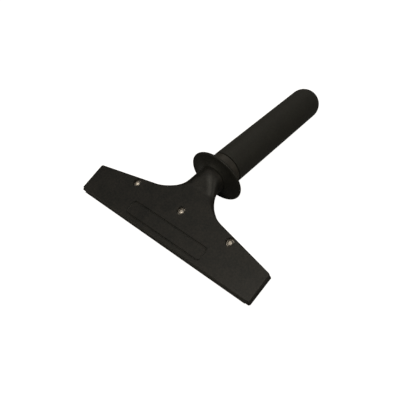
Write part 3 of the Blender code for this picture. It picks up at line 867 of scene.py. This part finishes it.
class SCRAPER_OT_fasteners(bpy.types.Operator):
    """Build the clamp screws and nuts"""

    bl_idname = "scraper.fasteners"
    bl_label = "Screws and nuts"

    def execute(self, context):
        # Each socket has come to rest at its own angle, in radians.
        socket_turns = {"left": 0.35, "centre": 0.8, "right": 0.1}
        for side in SIDES:
            screw = button_screw("button_screw_" + side, SCREW_PLACES[side], socket_turns[side])
            finish(screw, finish_named("stainless"), 40.0)
            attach(screw, side + "_screw")
            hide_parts("clamp_screw_" + side)
            nut = hex_nut("hex_nut_" + side, SCREW_PLACES[side])
            finish(nut, finish_named("zinc"), 30.0)
            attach(nut, "lower_jaw")
            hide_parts("clamp_nut_" + side)
        return {"FINISHED"}


# ---------------------------------------------------------------- blade


class SCRAPER_OT_blade(bpy.types.Operator):
    """Build the blade strip with its ground edge"""

    bl_idname = "scraper.blade"
    bl_label = "Blade"

    def execute(self, context):
        blade = context.scene.scraper_blade
        half = (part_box("scraper_blade")[1].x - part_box("scraper_blade")[0].x) / 2
        top, front = -GAP, -blade.proud
        bottom, rear, slope_end = top - blade.thickness, front + blade.depth, front + blade.bevel
        # The section: top face, the blunt edge, the two slopes of the bevel, underside.
        profile = np.array(((rear, top), (slope_end + MM, top), (front + 0.12 * MM, top),
                            (front, top - 0.05 * MM), (front + 0.05 * MM, top - 0.12 * MM),
                            (front + MM, top - 0.33 * MM), (slope_end, bottom),
                            (slope_end + 0.3 * MM, bottom), (rear - blade.corner, bottom),
                            (rear, bottom + blade.corner), (rear, top - blade.corner)))
        across = half * np.concatenate(([-1.0], np.linspace(-0.998, 0.998, 60), [1.0]))
        points = np.stack([np.column_stack((np.full(len(profile), x), profile)) for x in across])
        strip = closed_loft("blade_strip", jaw_points(points))
        finish(strip, finish_named("blade_finish"), 12.0, weighted=False)
        places = np.empty(len(strip.data.vertices) * 3)
        strip.data.vertices.foreach_get("co", places)
        origin = jaw_points(np.zeros(3))
        back = (places.reshape(-1, 3) - origin) @ JAW_BACK
        mask = (back < slope_end - 0.1 * MM).astype(np.float32)
        ground = strip.data.attributes.new("ground", "FLOAT", "POINT")
        ground.data.foreach_set("value", mask)
        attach(strip, "blade")
        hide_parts("scraper_blade")
        return {"FINISHED"}


# ---------------------------------------------------------------- guard and grip


class SCRAPER_OT_guard(bpy.types.Operator):
    """Build the oval hand guard"""

    bl_idname = "scraper.guard"
    bl_label = "Hand guard"

    def execute(self, context):
        handle = context.scene.scraper_handle
        low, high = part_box("hand_guard")
        half_width, half_height = (high.x - low.x) / 2, (high.z - low.z) / 2
        thick = high.y - low.y
        angle = turns(192)
        oval = 1.0 / np.hypot(np.cos(angle) / half_width, np.sin(angle) / half_height)
        rim, place, hub = handle.rim, handle.rim_back, handle.hub
        inside = oval - rim
        # The hub's front edge is rounded where the neck meets it.
        rings = [(handle.bore, 0.0), (hub - 1.3 * MM, 0.0), (hub - 0.85 * MM, 0.08 * MM),
                 (hub - 0.4 * MM, 0.26 * MM)]
        # The front flares from the hub (share 1) to the rim (share 0):
        # height = rim's height (1 - share^2) + rounded edge's height share.
        for share in np.linspace(1.0, 0.0, 22)[:-1]:
            radius = inside + (hub - inside) * share
            rings.append((radius, (place - rim) * (1.0 - share * share) + handle.flare * share))
        for turn in np.radians(np.linspace(-90, 90, 15)):
            rings.append((inside + rim * math.cos(turn), place + rim * math.sin(turn)))
        for share in np.linspace(0.0, 1.0, 8)[1:]:
            radius = inside + (handle.seat - inside) * share
            rings.append((radius, place + rim + (thick - place - rim) * share))
        rings.append((handle.bore, thick))
        guard = closed_ring("guard_disc", along_grip(ring_stack(rings, angle)))
        finish(guard, finish_named("guard_finish"), 40.0)
        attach(guard, "handle_and_head")
        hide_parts("hand_guard")
        return {"FINISHED"}


def turned_piece(name, node, profile, finish_name):
    """Turn a profile about the grip's axis into the piece that stands for a node."""
    piece = closed_ring(name, along_grip(spun(profile, 160)))
    finish(piece, finish_named(finish_name), 40.0)
    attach(piece, "handle_and_head")
    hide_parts(node)


class SCRAPER_OT_grip(bpy.types.Operator):
    """Build the collar and the grip sleeve"""

    bl_idname = "scraper.grip"
    bl_label = "Collar and grip"

    def execute(self, context):
        handle = context.scene.scraper_handle
        edge, bore = handle.edge, handle.bore
        low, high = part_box("grip_collar")
        wide = (high.x - low.x) / 2
        front, rear = low.y - GUARD_FRONT_Y, high.y - GUARD_FRONT_Y + handle.collar_more
        profile = np.concatenate((
            [(bore, front)], quarter(wide - edge, front + edge, edge, -90, 0),
            quarter(wide - edge, rear - edge, edge, 0, 90), [(bore, rear)]))
        turned_piece("collar_ring", "grip_collar", profile, "collar_finish")

        low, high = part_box("grip_sleeve")
        wide = (high.x - low.x) / 2
        front, rear = low.y - GUARD_FRONT_Y, high.y - GUARD_FRONT_Y
        narrow = handle.rear_radius
        base = rear - narrow
        body = np.linspace(0.0, 1.0, 60)[1:-1]
        straight = front + edge + (base - front - edge) * body
        profile = np.concatenate((
            [(bore, front)], quarter(wide - edge, front + edge, edge, -90, 0),
            np.stack((wide + (narrow - wide) * body, straight), 1),
            quarter(0.0, base, narrow, 0, 89.7, 40),
            [(TIP_RADIUS, base + 2 * GAP), (bore, base + 2 * GAP)]))
        turned_piece("grip_cover", "grip_sleeve", profile, "grip_finish")
        return {"FINISHED"}


# ---------------------------------------------------------------- pieces kept from the model


class SCRAPER_OT_kept(bpy.types.Operator):
    """Give the pieces whose shape is kept their finishes"""

    bl_idname = "scraper.kept"
    bl_label = "Kept pieces"

    def execute(self, context):
        finishes = {"clamp_plate": "plate_finish", "handle_tube": "drawn_alloy"}
        for side in SIDES:
            finishes["screw_washer_" + side] = "stainless"
        for node, name in finishes.items():
            slots = frame["nodes"][node].data.materials
            slots.clear()
            slots.append(finish_named(name))
        return {"FINISHED"}


# ---------------------------------------------------------------- stage


def area_light(name, place, size, power, tint):
    """Add a rectangular soft light aimed at the tool."""
    light = bpy.data.lights.new(name, "AREA")
    light.shape = "RECTANGLE"
    light.size, light.size_y = size
    light.energy = power
    light.color = tint
    lamp = bpy.data.objects.new(name, light)
    bpy.context.scene.collection.objects.link(lamp)
    lamp.location = place
    aim = Vector(LAMP_AIM) - Vector(place)
    lamp.rotation_euler = aim.to_track_quat("-Z", "Y").to_euler()


class SCRAPER_OT_stage(bpy.types.Operator):
    """Build the floor, the lights and the camera"""

    bl_idname = "scraper.stage"
    bl_label = "Stage"

    def execute(self, context):
        scene = context.scene
        tones = scene.scraper_colours
        corners = FLOOR_HALF * np.array(((-1, -1, 0), (1, -1, 0), (1, 1, 0), (-1, 1, 0)))
        floor = mesh_object("floor", corners, [(0, 1, 2, 3)])
        material, tree, shader = start_material("floor_paper")
        shader.inputs["Base Color"].default_value = (*scaled(tones.floor, FLOOR_RETURN), 1.0)
        shader.inputs["Roughness"].default_value = 0.9
        shader.inputs["Specular IOR Level"].default_value = 0.0
        shader.inputs["Emission Color"].default_value = (*tones.floor, 1.0)
        path = tree.nodes.new("ShaderNodeLightPath")
        # The paper is burnt out to white where the camera sees it, and lights nothing.
        glow = ranged(tree, path.outputs["Is Camera Ray"], 0.0, 1.0, 0.0, 1.0)
        tree.links.new(glow, shader.inputs["Emission Strength"])
        floor.data.materials.append(material)

        world = bpy.data.worlds.new("studio")
        scene.world = world
        world.use_nodes = True
        sky = world.node_tree.nodes["Background"]
        sky.inputs["Color"].default_value = (*tones.floor, 1.0)
        # The studio is brighter overhead than low down, and white where it is seen.
        studio = world.node_tree
        way = studio.nodes.new("ShaderNodeSeparateXYZ")
        studio.links.new(studio.nodes.new("ShaderNodeTexCoord").outputs["Generated"], way.inputs[0])
        seen = studio.nodes.new("ShaderNodeLightPath").outputs["Is Camera Ray"]
        glow = ranged(studio, way.outputs["Z"], 0.03, 0.30, 0.5, 0.8)
        studio.links.new(math_node(studio, "MAXIMUM", glow, seen), sky.inputs["Strength"])

        for lamp in LAMPS:
            area_light(*lamp, tones.lamp)

        camera = bpy.data.cameras.new("camera")
        camera.lens = CAMERA_LENS
        camera.sensor_width = CAMERA_SENSOR
        camera.clip_start = CAMERA_CLIP
        eye = bpy.data.objects.new("camera", camera)
        scene.collection.objects.link(eye)
        eye.location = SCREW_PLACES["centre"] + np.array(CAMERA_REACH)
        eye.rotation_euler = [math.radians(part) for part in CAMERA_TURN]
        scene.camera = eye
        scene.view_settings.view_transform = "Standard"
        return {"FINISHED"}


# ---------------------------------------------------------------- panel and main


# Settings of the scene, and the operators in the order in which main calls them.
GROUPS = {"scraper_head": ScraperHead, "scraper_screws": ScraperScrews,
          "scraper_blade": ScraperBlade, "scraper_handle": ScraperHandle,
          "scraper_colours": ScraperColours}
OPERATORS = (SCRAPER_OT_stage, SCRAPER_OT_head, SCRAPER_OT_blade, SCRAPER_OT_fasteners,
             SCRAPER_OT_guard, SCRAPER_OT_grip, SCRAPER_OT_kept)


class SCRAPER_PT_panel(bpy.types.Panel):
    """Lists the scraper's pieces and their sizes"""

    bl_idname = "SCRAPER_PT_panel"
    bl_label = "Floor scraper"
    bl_space_type = "VIEW_3D"
    bl_region_type = "UI"
    bl_category = "Scraper"

    def draw(self, context):
        for operator in OPERATORS:
            self.layout.operator(operator.bl_idname)
        for name, kind in GROUPS.items():
            column = self.layout.column()
            for setting in kind.__annotations__:
                column.prop(getattr(context.scene, name), setting)


CLASSES = (*GROUPS.values(), *OPERATORS, SCRAPER_PT_panel)


def register():
    """Register the classes and the scene's settings."""
    for item in CLASSES:
        bpy.utils.register_class(item)
    for name, group in GROUPS.items():
        setattr(bpy.types.Scene, name, PointerProperty(type=group))


def unregister():
    """Remove the settings and the classes."""
    for name in GROUPS:
        delattr(bpy.types.Scene, name)
    for item in reversed(CLASSES):
        bpy.utils.unregister_class(item)


def main():
    """Register and build every piece."""
    register()
    for step in ("stage", "head", "blade", "fasteners", "guard", "grip", "kept"):
        getattr(bpy.ops.scraper, step)()


if __name__ == "__main__":
    main()
